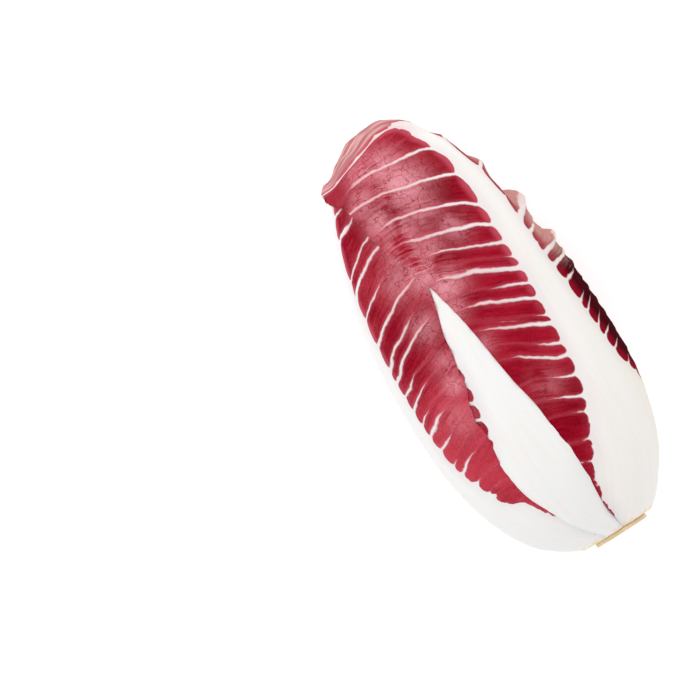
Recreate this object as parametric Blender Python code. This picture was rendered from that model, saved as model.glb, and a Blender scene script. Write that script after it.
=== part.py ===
"""A long head of red chicory, cut at the base and lying on its side.

The head is an egg of overlapping leaves round a short stem and a leafy heart.
Every leaf is laid on the egg along its own midrib and side veins, and is then
draped over the leaves beneath it, from the heart outwards.
X runs along the head with the cut stem at +X, +Z is up, and the origin is at
the middle of the footprint. Lengths below are in millimetres.
"""
import math

import bpy
import numpy as np
from mathutils import Vector
from mathutils.bvhtree import BVHTree

MM = 0.001

# Head: two half ellipsoids that share their widest ring, both a little fuller than power 2 gives.
# Its two ends lean a little to the same side.
HEAD_LENGTH = 202.0
WIDEST = 78.0
HALF_WIDTH = 47.0
HALF_DEPTH = 43.0
BASE_REACH = 79.5
TIP_REACH = HEAD_LENGTH - WIDEST
FULLNESS = 2.2
LEAN = 3.0
BASE_LEANS = (0.0, 15.0)
TIP_LEANS = (186.0, 202.0)

# Leaves: thickness of the blade and the midrib, the gap between leaves, and the margin's scallops
BLADE = 0.9
RIB_THICKNESS = 4.8
RIB_THINS_BY = 0.75
RIB_STANDS_OUT = 0.28
CLEARANCE = 0.7
SCALLOP = 0.008
MOST_WAVE = 0.08
FREE_BLADE = 14.0
FLAT_PRESS = 2.0

# How a leaf is draped: samples to a cell, and where the rays that feel for what lies beneath start and end
SAMPLES = 3
LOOK_FROM = 30.0
LOOK_LENGTH = 80.0
NOTHING_BENEATH = 60.0
EVEN_OUT = 4

# Half the width of a midrib, by distance from the cut
RIB_WIDTH = [(0, 18), (20, 25), (35, 23), (48, 19.5), (67, 13), (90, 10.5), (140, 8.8), (166, 6), (190, 3)]

# Stem: radius by distance from the cut
STEM_PROFILE = [(0, 12.4), (1.5, 12.4), (2.6, 11.3), (6, 13.6), (10, 15.6), (15, 16.2), (22, 14.5),
                (31, 10.0), (40, 5.0)]
STEM_SIDES = 28

# Heart: a bud of tightly rolled leaves
HEART_MIDDLE = 104.0
HEART_REACH = 60.0
HEART_RADIUS = 26.0
HEART_RINGS = 14
HEART_SIDES = 20
HEART_FOLDS = 3
HEART_FOLD_HEIGHT = 1.6

# The right-hand leaf, from base to tip. Each row is one side vein: where it leaves the midrib,
# its middle and its end on the upper margin, then its end on the far margin.
# A place is the distance from the cut and the angle round the head (0 at +Y, 90 on top).
RIGHT_LEAF = [
    ((2, 36), (2, 58), (2, 84), (2, -8)),
    ((9, 37), (9, 60), (9.5, 84), (9, -9)),
    ((16, 38), (17, 61), (18, 84.5), (18, -10.5)),
    ((22.5, 39), (28, 63), (34, 85.5), (29, -13)),
    ((33, 41), (39, 64), (45.5, 86.5), (44, -16)),
    ((45, 42), (51.3, 65), (57, 88), (64, -19)),
    ((51, 43), (58.3, 65.5), (66, 89), (74, -22)),
    ((60.5, 44), (69, 67), (76, 91.5), (85, -25)),
    ((68.5, 45), (78, 68), (90, 94), (92, -27)),
    ((75.5, 45), (85.2, 68.5), (97, 95), (98, -29)),
    ((83, 45), (94.5, 69), (106, 96.5), (103, -30)),
    ((88, 44.5), (99.5, 70), (111, 97.5), (108, -31)),
    ((98, 44), (107.7, 70), (116.5, 99), (112, -31)),
    ((106.5, 43), (115, 70.5), (123, 101), (117, -31)),
    ((113.5, 42.5), (123.5, 72), (132.5, 104.5), (125, -31)),
    ((119.5, 41), (129, 73), (138, 107.5), (131, -31)),
    ((124.5, 39.5), (136.2, 73.5), (144, 111), (139, -31)),
    ((131, 38), (145.5, 74), (151, 116.5), (150, -32)),
    ((142, 34.5), (157, 75), (161.5, 123.5), (159, -36)),
    ((158, 30.5), (171.5, 83), (175.5, 136), (166, -46)),
    ((175, 22), (182.8, 83), (180, 148), (181, -66)),
    ((187, 18), (186.5, 88), (181, 153), (186.5, -95)),
    ((194.5, 42), (189, 100), (181.3, 158), (189, -122)),
    ((195.5, 76), (189.5, 116), (181.6, 163), (189.5, -145)),
    ((192, 108), (188, 136), (182.2, 168), (189, -163)),
    ((188, 140), (186, 154), (183.2, 173), (188, -174)),
    ((185.5, 168), (185, 172), (184.5, 176), (186.5, -181)),
]

# The left-hand leaf in the same way: midrib, middle and end on the upper margin, far margin
LEFT_LEAF = [
    ((2, 175), (2, 145), (2, 112), (2, 216)),
    ((9, 176), (9, 147), (9.5, 115.5), (9, 217)),
    ((17, 176.5), (17.5, 150), (18, 119), (18, 218)),
    ((25, 177), (26, 152), (27, 123), (26, 220)),
    ((31.5, 177.5), (34, 152), (35, 127.8), (32, 222)),
    ((39, 178), (43, 151), (46, 125.5), (41, 226)),
    ((46, 178), (50, 151), (54, 124.3), (47, 228)),
    ((52, 178), (58, 150), (65, 121), (54, 231)),
    ((57.5, 178), (64, 149.5), (72, 122), (60, 233)),
    ((65.5, 178), (72.5, 149), (80, 119.6), (67, 235)),
    ((71.5, 178), (79.5, 148), (87.5, 115.3), (74, 236)),
    ((78, 178), (86, 146.5), (94, 114.5), (81, 237)),
    ((86, 178), (94, 145), (102.5, 111.8), (88, 238)),
    ((92, 177.5), (101, 144.5), (110, 111), (96, 239)),
    ((99, 177.5), (110.5, 142.5), (122, 106.5), (106, 239.5)),
    ((105.5, 177), (117.5, 141.5), (129, 104.6), (114, 240)),
    ((114, 177), (127.5, 140.5), (139, 101.5), (122, 240.5)),
    ((126.5, 176.5), (140, 139), (151, 97), (134, 241)),
    ((137, 176), (151.5, 138), (161, 92), (146, 241)),
    ((143, 176), (158.5, 138), (167.5, 90), (152, 240)),
    ((161.5, 176), (173, 138), (178, 86), (167, 238)),
    ((174, 175.5), (181.5, 136), (185, 84.5), (179, 232)),
    ((183.5, 172), (187, 132), (189, 84), (186.5, 214)),
    ((189, 152), (191, 122), (192, 93), (192, 172)),
    ((192, 122), (192.5, 112), (193, 102), (193, 138)),
]

# How the two tables become leaves: cells along and across, depth under the outline at base and tip,
# size of the rib, and the waves of the far and the upper side of the blade
LEFT_CELLS, LEFT_DEPTH, LEFT_RIB, LEFT_WAVE = (48, 14), (0.3, 1.9), 1.25, (1.0, 1.0)
RIGHT_CELLS, RIGHT_DEPTH, RIGHT_RIB, RIGHT_WAVE = (52, 14), (0.0, 0.0), 1.0, (0.7, 0.4)

# The right-hand leaf's far side is ruffled: height of the blade at each side vein, by its row above
RUFFLE = [(0, 0), (11, 0), (12, 0.6), (13, 0.5), (13.5, 0.5), (14, 2.2), (14.5, 0.0), (15, -1.0),
          (16, -0.8), (16.5, 0.4), (17, 2.5), (17.5, -1.8), (18, -2.0), (18.5, -1.2), (19, 1.3), (19.5, 0.0),
          (20, 0.9), (21, 0), (25, 0)]

# Where the right-hand leaf folds over the tip it has a blunt corner: distance from the cut, angle,
# radius of the bump, how high it stands and how soon it fades towards the margin
CORNER = (184.0, 165.0, 5.0, 2.0, 1.0)

# A far vein that spans a wide angle takes the shortest way, over the tip: where that begins and is full
CROSSES_TIP = (60.0, 115.0)

# The other leaves follow one rule: name, midrib angle at base and tip, start and end, half the leaf's
# angle and its share at the base, side veins, depth under the outline at base and tip, size of the rib
RULED_LEAVES = [
    ("inner_leaf_1", 20, 35, 26, 176, 93, 0.60, 8, 17.0, 9.0, 0.45),
    ("inner_leaf_2", 200, 215, 24, 178, 93, 0.60, 8, 15.5, 8.5, 0.45),
    ("inner_leaf_3", 310, 325, 18, 181, 74, 0.60, 8, 12.0, 7.5, 0.55),
    ("inner_leaf_4", 70, 80, 17, 182, 74, 0.60, 8, 11.0, 7.0, 0.55),
    ("inner_leaf_5", 190, 200, 16, 184, 74, 0.60, 8, 9.5, 6.5, 0.60),
    ("side_leaf_right", 334, 345, 2, 186, 44, 0.40, 13, 3.2, 5.6, 0.80),
    ("side_leaf_left", 226, 222, 2, 187, 33, 0.36, 13, 3.0, 5.2, 0.80),
    ("side_leaf_front", 106, 104, 2, 187, 47, 0.57, 13, 2.0, 4.8, 1.00),
    ("outer_leaf_under", 274, 264, 2, 190, 64, 0.62, 14, 1.2, 3.2, 1.00),
]

# Cells across a ruled leaf and the wave of its blade, by where the leaf sits
RULED_CELLS = {"inner": 8, "side": 10, "outer": 12}
RULED_WAVE = {"inner": 0.5, "side": 1.0, "outer": 1.0}
VEIN_SWEEP = 17.0
EDGE_TURN = 1.5
MOST_TURN = 125.0

# Colours
LEAF_RED = (0.42, 0.016, 0.045)
INNER_RED = (0.50, 0.05, 0.09)
HEART_CREAM = (0.84, 0.74, 0.42)
STEM_TAN = (0.80, 0.58, 0.32)


def clear_scene():
    """Starts from an empty file."""
    for item in list(bpy.data.objects):
        bpy.data.objects.remove(item, do_unlink=True)


def unit(vectors):
    """Scales vectors to length one."""
    return vectors / np.linalg.norm(vectors, axis=-1, keepdims=True)


def on_sphere(along, angle):
    """The point of a unit sphere that stands for a place on the head."""
    along = np.asarray(along, float)
    turn = np.radians(np.asarray(angle, float))
    reach = np.where(along > WIDEST, TIP_REACH, BASE_REACH)
    height = np.clip((along - WIDEST) / reach, -1.0, 1.0)
    ring = np.sqrt(1.0 - height ** 2)
    return np.stack([-height, ring * np.cos(turn), ring * np.sin(turn)], axis=-1)


def stretch(sphere):
    """How far the head reaches along x, y and z where a sphere point lies."""
    reach = np.where(sphere[..., 0] < 0, TIP_REACH, BASE_REACH)
    return np.stack([reach, np.full_like(reach, HALF_WIDTH), np.full_like(reach, HALF_DEPTH)], axis=-1)


def on_head(sphere):
    """The place on the head and the way out of it: square to the head, but square to x near the cut."""
    size = stretch(sphere)
    height = np.clip(np.abs(sphere[..., :1]), 0.0, 0.9999)
    ring = np.sqrt(1.0 - height ** 2)
    full = (1.0 - height ** FULLNESS) ** (1.0 / FULLNESS)
    wider = full / ring
    slope = height ** (FULLNESS - 2.0)
    rise = full ** (FULLNESS - 1.0) / ring
    place = sphere * size * np.concatenate([np.ones_like(ring), wider, wider], axis=-1)
    square = unit(sphere / size * np.concatenate([slope, rise, rise], axis=-1))
    radial = unit(place * (0, 1, 1))
    along = WIDEST - place[..., 0]
    share = 1.0 - smooth_step(along[..., None], 8.0, 60.0)
    place[..., 1] += side_lean(along)
    return place, unit(square + (radial - square) * share)


def side_lean(along):
    """How far the head's axis has moved to the side at a distance from the cut."""
    return LEAN * (1.0 - smooth_step(along, *BASE_LEANS) + smooth_step(along, *TIP_LEANS))


def spline(points, where):
    """Reads a smooth curve through the points at fractional positions."""
    points = np.asarray(points, float)
    last = len(points) - 1
    padded = np.concatenate([[2 * points[0] - points[1]], points, [2 * points[-1] - points[-2]]])
    start = np.clip(np.floor(where).astype(int), 0, last - 1)
    t = (where - start).reshape((-1,) + (1,) * (points.ndim - 1))
    p0, p1, p2, p3 = (padded[start + k] for k in range(4))
    return 0.5 * (2 * p1 + (p2 - p0) * t + (2 * p0 - 5 * p1 + 4 * p2 - p3) * t ** 2
                  + (3 * p1 - p0 - 3 * p2 + p3) * t ** 3)


def smooth_step(value, low, high):
    """Rises from 0 at low to 1 at high."""
    t = np.clip((value - low) / (high - low), 0.0, 1.0)
    return t * t * (3 - 2 * t)


def vein_net(table):
    """Turns a leaf's table into points of the unit sphere: midrib, and middle and end on each side."""
    places = np.array(table, float)
    rib, middle, margin, far = (on_sphere(*places[:, k].T) for k in range(4))
    # A far vein's middle is half way in distance and angle, and the shortest way where it crosses the tip
    half_way = on_sphere(*(places[:, 0] + places[:, 3]).T / 2)
    crosses_tip = smooth_step(places[:, 0, 1] - places[:, 3, 1], *CROSSES_TIP)[:, None]
    far_middle = unit(half_way + (unit(rib + far) - half_way) * crosses_tip)
    return rib, middle, margin, far_middle, far


def ruled_net(base_angle, tip_angle, start, end, half_angle, base_share, veins):
    """Lays out a leaf by rule: a straight midrib, with side veins that sweep towards the tip."""
    t = np.linspace(0.0, 1.0, veins + 1)
    along = start + (end - start) * (0.8 * t + 0.2 * t ** 2)
    angle = base_angle + (tip_angle - base_angle) * t
    bulge = base_share + (1 - base_share) * smooth_step(t, 0.0, 0.6)
    half_turn = half_angle * bulge * np.sqrt(np.clip(1.0 - t ** 5, 0.0, 1.0)) + EDGE_TURN
    sweep = VEIN_SWEEP * smooth_step(t, 0.05, 0.5) * (1 - t ** 2)
    sides = []
    for side in (1, -1):
        for share, swept in ((0.5, 0.6), (1.0, 1.0)):
            place = np.minimum(along + swept * sweep, end)
            ring = np.linalg.norm(on_sphere(np.maximum(place, WIDEST), 0 * place)[:, 1:], axis=-1)
            turn = share * np.minimum(half_turn / np.maximum(ring, 0.3), MOST_TURN)
            sides.append(on_sphere(place, angle + side * turn))
    return on_sphere(along, angle), sides[0], sides[1], sides[2], sides[3]


def lay_leaf(net, rows, columns):
    """Reads the net at rows (side veins) and columns (-1 and 1 are the margins, 0 is the midrib)."""
    rib, left_middle, left, right_middle, right = (unit(spline(line, rows))[:, None] for line in net)
    to_tip = 1.0 - rows / (len(net[0]) - 1)
    scallop = SCALLOP * np.cos(2 * np.pi * rows) * smooth_step(to_tip, 0.2, 0.4)
    b = np.abs(columns)[None, :, None] * (1.0 + scallop[:, None, None])
    middle = np.where(columns[None, :, None] > 0, left_middle, right_middle)
    margin = np.where(columns[None, :, None] > 0, left, right)
    return unit(rib * (1 - b) * (1 - 2 * b) + middle * 4 * b * (1 - b) + margin * b * (2 * b - 1))


def along_rows(places):
    """Distance along each row from the far margin."""
    steps = np.linalg.norm(np.diff(places, axis=1), axis=-1)
    return np.concatenate([np.zeros((len(places), 1)), np.cumsum(steps, axis=1)], axis=1)


def leaf_body(places, rows, columns, rib_size, wave):
    """Thickness, how far the rib stands out, and the swell of the blade between side veins."""
    along = WIDEST - places[..., 0]
    run = along_rows(places)
    middle = int(np.argmin(np.abs(columns)))
    across = np.abs(run - run[:, middle:middle + 1])
    rib_along = along[:, middle:middle + 1]
    distance, width = np.array(RIB_WIDTH, float).T
    rib = rib_size * np.interp(rib_along, distance, width)
    bulk = RIB_THICKNESS * rib_size * (1.0 - RIB_THINS_BY * smooth_step(rib_along, 25.0, 185.0))
    section = np.clip(1.0 - (across / rib) ** 2, 0.0, 1.0) ** 1.5
    thickness = BLADE + bulk * section * (0.82 + 0.18 * smooth_step(rib_along, 2.0, 14.0))
    free = smooth_step(across, rib, rib + FREE_BLADE)
    side = np.where(columns[None, :] > 0, wave[0], wave[1])
    vein_spacing = np.linalg.norm(np.gradient(places, rows, axis=0), axis=-1)
    swell = side * free * (0.5 + 0.5 * smooth_step(along, 100.0, 135.0))
    return thickness, RIB_STANDS_OUT * bulk * section, np.minimum(swell, MOST_WAVE * vein_spacing), free


def ruffle_and_corner(places, rows, columns, free):
    """How far the right-hand leaf's far side and its folded corner stand out."""
    ruffle = np.interp(rows, *np.array(RUFFLE, float).T)[:, None] * free * (columns < 0)
    along, angle, radius, height, fades = CORNER
    apart = np.linalg.norm(places - on_head(on_sphere(along, angle))[0], axis=-1)
    run = along_rows(places)
    from_margin = np.minimum(run, run[:, -1:] - run)
    return ruffle + height * np.exp(-(apart / radius) ** 2) * smooth_step(from_margin, 0.0, fades)


def depth_beneath(places, normals, laid):
    """How far under the head's outline the pieces already laid begin."""
    depth = np.full(places.shape[:2], NOTHING_BENEATH)
    for index in np.ndindex(depth.shape):
        out = Vector(normals[index])
        hit = laid.ray_cast(Vector(places[index]) + out * LOOK_FROM, -out, LOOK_LENGTH)
        if hit[0] is not None:
            depth[index] = hit[3] - LOOK_FROM
    return depth


def lowest_near(fine):
    """The least value of the samples in the cells round each point of the leaf."""
    spread = SAMPLES + 1
    padded = np.pad(fine, spread, mode="edge")
    rows, columns = fine.shape
    steps = range(2 * spread + 1)
    windows = [padded[i:i + rows, j:j + columns] for i in steps for j in steps]
    return np.minimum.reduce(windows)[::SAMPLES, ::SAMPLES]


def flat_between(fine):
    """The places that flat cells have at every sample, when only the leaf's own points lie on the head."""
    for axis in (0, 1):
        coarse = np.moveaxis(fine, axis, 0)[::SAMPLES]
        position = np.arange((len(coarse) - 1) * SAMPLES + 1) / SAMPLES
        start = np.minimum(position.astype(int), len(coarse) - 2)
        part = (position - start)[:, None, None]
        fine = np.moveaxis(coarse[start] * (1 - part) + coarse[start + 1] * part, 0, axis)
    return fine


def blur(values):
    """Evens out a grid of depths."""
    padded = np.pad(values, 1, mode="edge")
    rows, columns = values.shape
    return sum(padded[i:i + rows, j:j + columns] for i in range(3) for j in range(3)) / 9.0


def drape_leaf(net, cells, sink, rib_size, wave, laid, lifted=False):
    """The outer and inner skins of one leaf, resting on what is already laid."""
    rows = np.linspace(0.0, len(net[0]) - 1, SAMPLES * cells[0] + 1)
    columns = np.linspace(-1.0, 1.0, SAMPLES * cells[1] + 1)
    places, ways_out = on_head(lay_leaf(net, rows, columns))
    thickness, bulge, swell, free = leaf_body(places, rows, columns, rib_size, wave)
    lift = ruffle_and_corner(places, rows, columns, free) if lifted else np.zeros_like(swell)
    sag = ((places - flat_between(places)) * ways_out).sum(axis=-1)
    room = depth_beneath(places, ways_out, laid) - CLEARANCE - thickness
    limit = lowest_near(room - swell + bulge + np.minimum(lift, 0.0) - sag)
    places, ways_out = places[::SAMPLES, ::SAMPLES], ways_out[::SAMPLES, ::SAMPLES]
    marks = (thickness, bulge, swell, lift)
    thickness, bulge, swell, lift = (mark[::SAMPLES, ::SAMPLES, None] for mark in marks)
    depth = sink[0] + (sink[1] - sink[0]) * smooth_step(WIDEST - places[..., 0], 100.0, 180.0)
    for _ in range(EVEN_OUT):
        depth = blur(np.minimum(depth, limit))
    depth = np.minimum(depth, limit)
    ridge = np.cos(2 * np.pi * rows[::SAMPLES])[:, None, None]
    outer = places + ways_out * (bulge + lift + swell * ridge - depth[..., None])
    return outer, outer - ways_out * thickness


def shell(outer, inner):
    """Points and triangles of a closed leaf, split alike on both skins."""
    rows, columns = outer.shape[:2]
    points = np.concatenate([outer.reshape(-1, 3), inner.reshape(-1, 3)])
    other = rows * columns
    faces = []
    for i in range(rows - 1):
        for j in range(columns - 1):
            a, b = i * columns + j, i * columns + j + 1
            c, d = b + columns, a + columns
            faces += [(a, d, c), (a, c, b)]
            faces += [(other + c, other + d, other + a), (other + b, other + c, other + a)]
    top = [j for j in range(columns)]
    side = [i * columns + columns - 1 for i in range(1, rows)]
    bottom = [(rows - 1) * columns + j for j in range(columns - 2, -1, -1)]
    back = [i * columns for i in range(rows - 2, 0, -1)]
    ring = top + side + bottom + back
    for a, b in zip(ring, ring[1:] + ring[:1]):
        faces += [(a, b, other + b), (a, other + b, other + a)]
    return points, faces


def turned(stations, radii, folds, fold_height, sides):
    """A closed body turned about x, with raised leaf edges that wind round it."""
    points = []
    for place, radius in zip(stations, radii):
        for k in range(sides):
            turn = 2 * math.pi * k / sides
            phase = (folds * k / sides + place / 90.0) % 1.0
            size = radius + fold_height * (phase - 0.5) * min(1.0, radius / 10.0)
            depth = size * HALF_DEPTH / HALF_WIDTH
            aside = size * math.cos(turn) + side_lean(place)
            points.append((WIDEST - place, aside, depth * math.sin(turn)))
    faces = []
    for i in range(len(stations) - 1):
        for k in range(sides):
            a, b = i * sides + k, i * sides + (k + 1) % sides
            faces += [(a, b + sides, b), (a, a + sides, b + sides)]
    ends = [(WIDEST - place, side_lean(place), 0.0) for place in (stations[0], stations[-1])]
    first, last = len(points), len(points) + 1
    final_ring = (len(stations) - 1) * sides
    for k in range(sides):
        after = (k + 1) % sides
        faces += [(first, k, after), (last, final_ring + after, final_ring + k)]
    return np.array(points + ends), faces


def stem_body():
    """The short stem: a flat cut, a waist and a cone that the leaves stand on."""
    places, radii = zip(*STEM_PROFILE)
    return turned(places, radii, 1, 0.0, STEM_SIDES)


def heart_body():
    """The heart: a pointed bud with the edges of its rolled leaves standing out a little."""
    turns = np.linspace(0.12, math.pi - 0.16, HEART_RINGS)
    places = HEART_MIDDLE - HEART_REACH * np.cos(turns)
    radii = HEART_RADIUS * np.sin(turns)
    return turned(places, radii, HEART_FOLDS, HEART_FOLD_HEIGHT, HEART_SIDES)


def tree_of(bodies):
    """A search tree over every body laid so far."""
    points, faces = [], []
    for body_points, body_faces in bodies:
        start = len(points)
        points += [tuple(p) for p in body_points]
        faces += [tuple(start + i for i in face) for face in body_faces]
    return BVHTree.FromPolygons(points, faces)


def build_bodies():
    """Every piece from the stem outwards, as points and triangles in millimetres."""
    bodies = {"stem": stem_body(), "heart": heart_body()}
    for name, base, tip, start, end, half_angle, share, veins, low, high, rib in RULED_LEAVES:
        kind = name.split("_")[0]
        net = ruled_net(base, tip, start, end, half_angle, share, veins)
        cells = (2 * veins, RULED_CELLS[kind])
        wave = (RULED_WAVE[kind], RULED_WAVE[kind])
        skins = drape_leaf(net, cells, (low, high), rib, wave, tree_of(bodies.values()))
        bodies[name] = shell(*skins)
    net = vein_net(LEFT_LEAF)
    mirrored = (net[0], net[3], net[4], net[1], net[2])
    skins = drape_leaf(mirrored, LEFT_CELLS, LEFT_DEPTH, LEFT_RIB, LEFT_WAVE, tree_of(bodies.values()))
    bodies["outer_leaf_left"] = shell(*skins)
    net = vein_net(RIGHT_LEAF)
    laid = tree_of(bodies.values())
    skins = drape_leaf(net, RIGHT_CELLS, RIGHT_DEPTH, RIGHT_RIB, RIGHT_WAVE, laid, lifted=True)
    bodies["outer_leaf_right"] = shell(*skins)
    return bodies


def settle(bodies):
    """Presses the lowest midrib flat where the head rests, and puts the origin under its middle."""
    points = bodies["outer_leaf_under"][0]
    floor = points[:, 2].min() + FLAT_PRESS
    points[:, 2] = np.maximum(points[:, 2], floor)
    everything = np.concatenate([body[0] for body in bodies.values()])
    middle = (everything.min(axis=0) + everything.max(axis=0)) / 2
    for body in bodies.values():
        body[0][:] -= (middle[0], middle[1], floor)


def finish(name, colour, roughness):
    """A plain material for one piece."""
    material = bpy.data.materials.new(name)
    material.use_nodes = True
    shader = material.node_tree.nodes["Principled BSDF"]
    shader.inputs["Base Color"].default_value = (*colour, 1.0)
    shader.inputs["Roughness"].default_value = roughness
    shader.inputs["Metallic"].default_value = 0.0
    material.diffuse_color = (*colour, 1.0)
    return material


def add_piece(name, body, colour, roughness):
    """Makes the object of one piece."""
    points, faces = body
    mesh = bpy.data.meshes.new(name)
    mesh.from_pydata([tuple(p * MM) for p in points], [], faces)
    mesh.update()
    mesh.shade_smooth()
    mesh.set_sharp_from_angle(angle=math.radians(50))
    mesh.materials.append(finish(name + "_finish", colour, roughness))
    piece = bpy.data.objects.new(name, mesh)
    bpy.context.scene.collection.objects.link(piece)
    return piece


def main():
    """Builds the head."""
    clear_scene()
    bodies = build_bodies()
    settle(bodies)
    for name, body in bodies.items():
        colour = LEAF_RED
        if name == "stem":
            colour = STEM_TAN
        elif name == "heart":
            colour = HEART_CREAM
        elif name.startswith("inner"):
            colour = INNER_RED
        add_piece(name, body, colour, 0.45)


main()
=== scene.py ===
# %% [markdown]
# # A head of red chicory
# A head of long red chicory is a big bud. Its leaves grow from one short stem and roll round each
# other, each with a thick white midrib and a wine-red blade. This lesson builds eleven of them and a
# small heart, from the inside outwards: every leaf is laid on an egg and let down on those beneath.
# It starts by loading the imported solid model, which says where the head lies and how large it is.

import math

import bpy
import numpy as np
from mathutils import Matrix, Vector, noise
from mathutils.bvhtree import BVHTree


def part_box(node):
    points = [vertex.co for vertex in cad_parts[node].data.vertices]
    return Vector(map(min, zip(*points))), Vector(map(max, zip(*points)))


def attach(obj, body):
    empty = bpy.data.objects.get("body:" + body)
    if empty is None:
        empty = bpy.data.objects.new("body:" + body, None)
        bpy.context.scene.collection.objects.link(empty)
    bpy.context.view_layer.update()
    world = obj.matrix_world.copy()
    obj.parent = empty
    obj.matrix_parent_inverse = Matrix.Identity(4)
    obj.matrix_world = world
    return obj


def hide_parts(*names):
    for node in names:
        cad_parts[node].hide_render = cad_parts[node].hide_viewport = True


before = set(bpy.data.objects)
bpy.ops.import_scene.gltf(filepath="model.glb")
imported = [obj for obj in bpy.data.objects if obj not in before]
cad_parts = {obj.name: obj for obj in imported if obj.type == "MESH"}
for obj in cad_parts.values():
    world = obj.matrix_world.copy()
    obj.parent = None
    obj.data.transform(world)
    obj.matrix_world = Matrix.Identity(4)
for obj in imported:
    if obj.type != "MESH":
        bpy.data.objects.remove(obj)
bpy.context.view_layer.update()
MM = 0.001

# %% [markdown]
# ## Where the head lies
# The head lies along x with its cut stem at +X. The stem is round, so the middle of its box is the
# head's own axis, and its outer face is the cut that every length below is measured from. Reading
# both from the frame keeps the finished leaves exactly where the solids are.

# %% The axis of the head
stem_low, stem_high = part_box("stem")
WIDEST = 78.0
AXIS = np.array([stem_high.x - WIDEST * MM, (stem_low.y + stem_high.y) / 2, (stem_low.z + stem_high.z) / 2])
FLOOR = -AXIS[2] / MM
print("axis at, mm:", (AXIS / MM).round(1), "floor under it:", round(FLOOR, 1))

# %% [markdown]
# ## The egg that the leaves wrap
# A plump bud is close to two half ellipsoids that share their widest ring: a blunt one on the stem's
# side and a long one on the tip's, both made fuller by a power a little over 2. No bud is quite
# straight, so both ends lean 3 mm to one side. A place is a distance from the cut and an angle round
# the head, 0 at +Y and 90 on top. Near the cut the way out is turned square to the axis, because
# leaves stand side by side on the stem there and don't lean on its end.

# %% Places on the egg
HEAD_LENGTH = 202.0
BASE_REACH = 79.5
TIP_REACH = HEAD_LENGTH - WIDEST
HALF_WIDTH = 47.0
HALF_DEPTH = 43.0
FULLNESS = 2.2
LEAN = 3.0
BASE_LEANS = (0.0, 15.0)
TIP_LEANS = (186.0, 202.0)


def unit(vectors):
    """Scales vectors to length one."""
    return vectors / np.linalg.norm(vectors, axis=-1, keepdims=True)


def smooth_step(value, low, high):
    """Rises from 0 at low to 1 at high."""
    t = np.clip((value - low) / (high - low), 0.0, 1.0)
    return t * t * (3 - 2 * t)


def on_sphere(along, angle):
    """The point of a unit sphere that stands for a place on the head."""
    along = np.asarray(along, float)
    turn = np.radians(np.asarray(angle, float))
    reach = np.where(along > WIDEST, TIP_REACH, BASE_REACH)
    height = np.clip((along - WIDEST) / reach, -1.0, 1.0)
    ring = np.sqrt(1.0 - height ** 2)
    return np.stack([-height, ring * np.cos(turn), ring * np.sin(turn)], axis=-1)


def on_head(sphere):
    """The place on the head and the way out of it."""
    reach = np.where(sphere[..., 0] < 0, TIP_REACH, BASE_REACH)
    size = np.stack([reach, np.full_like(reach, HALF_WIDTH), np.full_like(reach, HALF_DEPTH)], axis=-1)
    height = np.clip(np.abs(sphere[..., :1]), 0.0, 0.9999)
    ring = np.sqrt(1.0 - height ** 2)
    full = (1.0 - height ** FULLNESS) ** (1.0 / FULLNESS)
    wider = full / ring
    slope = height ** (FULLNESS - 2.0)
    rise = full ** (FULLNESS - 1.0) / ring
    place = sphere * size * np.concatenate([np.ones_like(ring), wider, wider], axis=-1)
    square = unit(sphere / size * np.concatenate([slope, rise, rise], axis=-1))
    radial = unit(place * (0, 1, 1))
    along = WIDEST - place[..., 0]
    share = 1.0 - smooth_step(along[..., None], 8.0, 60.0)
    place[..., 1] += LEAN * (1.0 - smooth_step(along, *BASE_LEANS) + smooth_step(along, *TIP_LEANS))
    return place, unit(square + (radial - square) * share)


print("tip of the egg, mm:", on_head(on_sphere(HEAD_LENGTH - 0.1, 90))[0].round(1))
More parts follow.
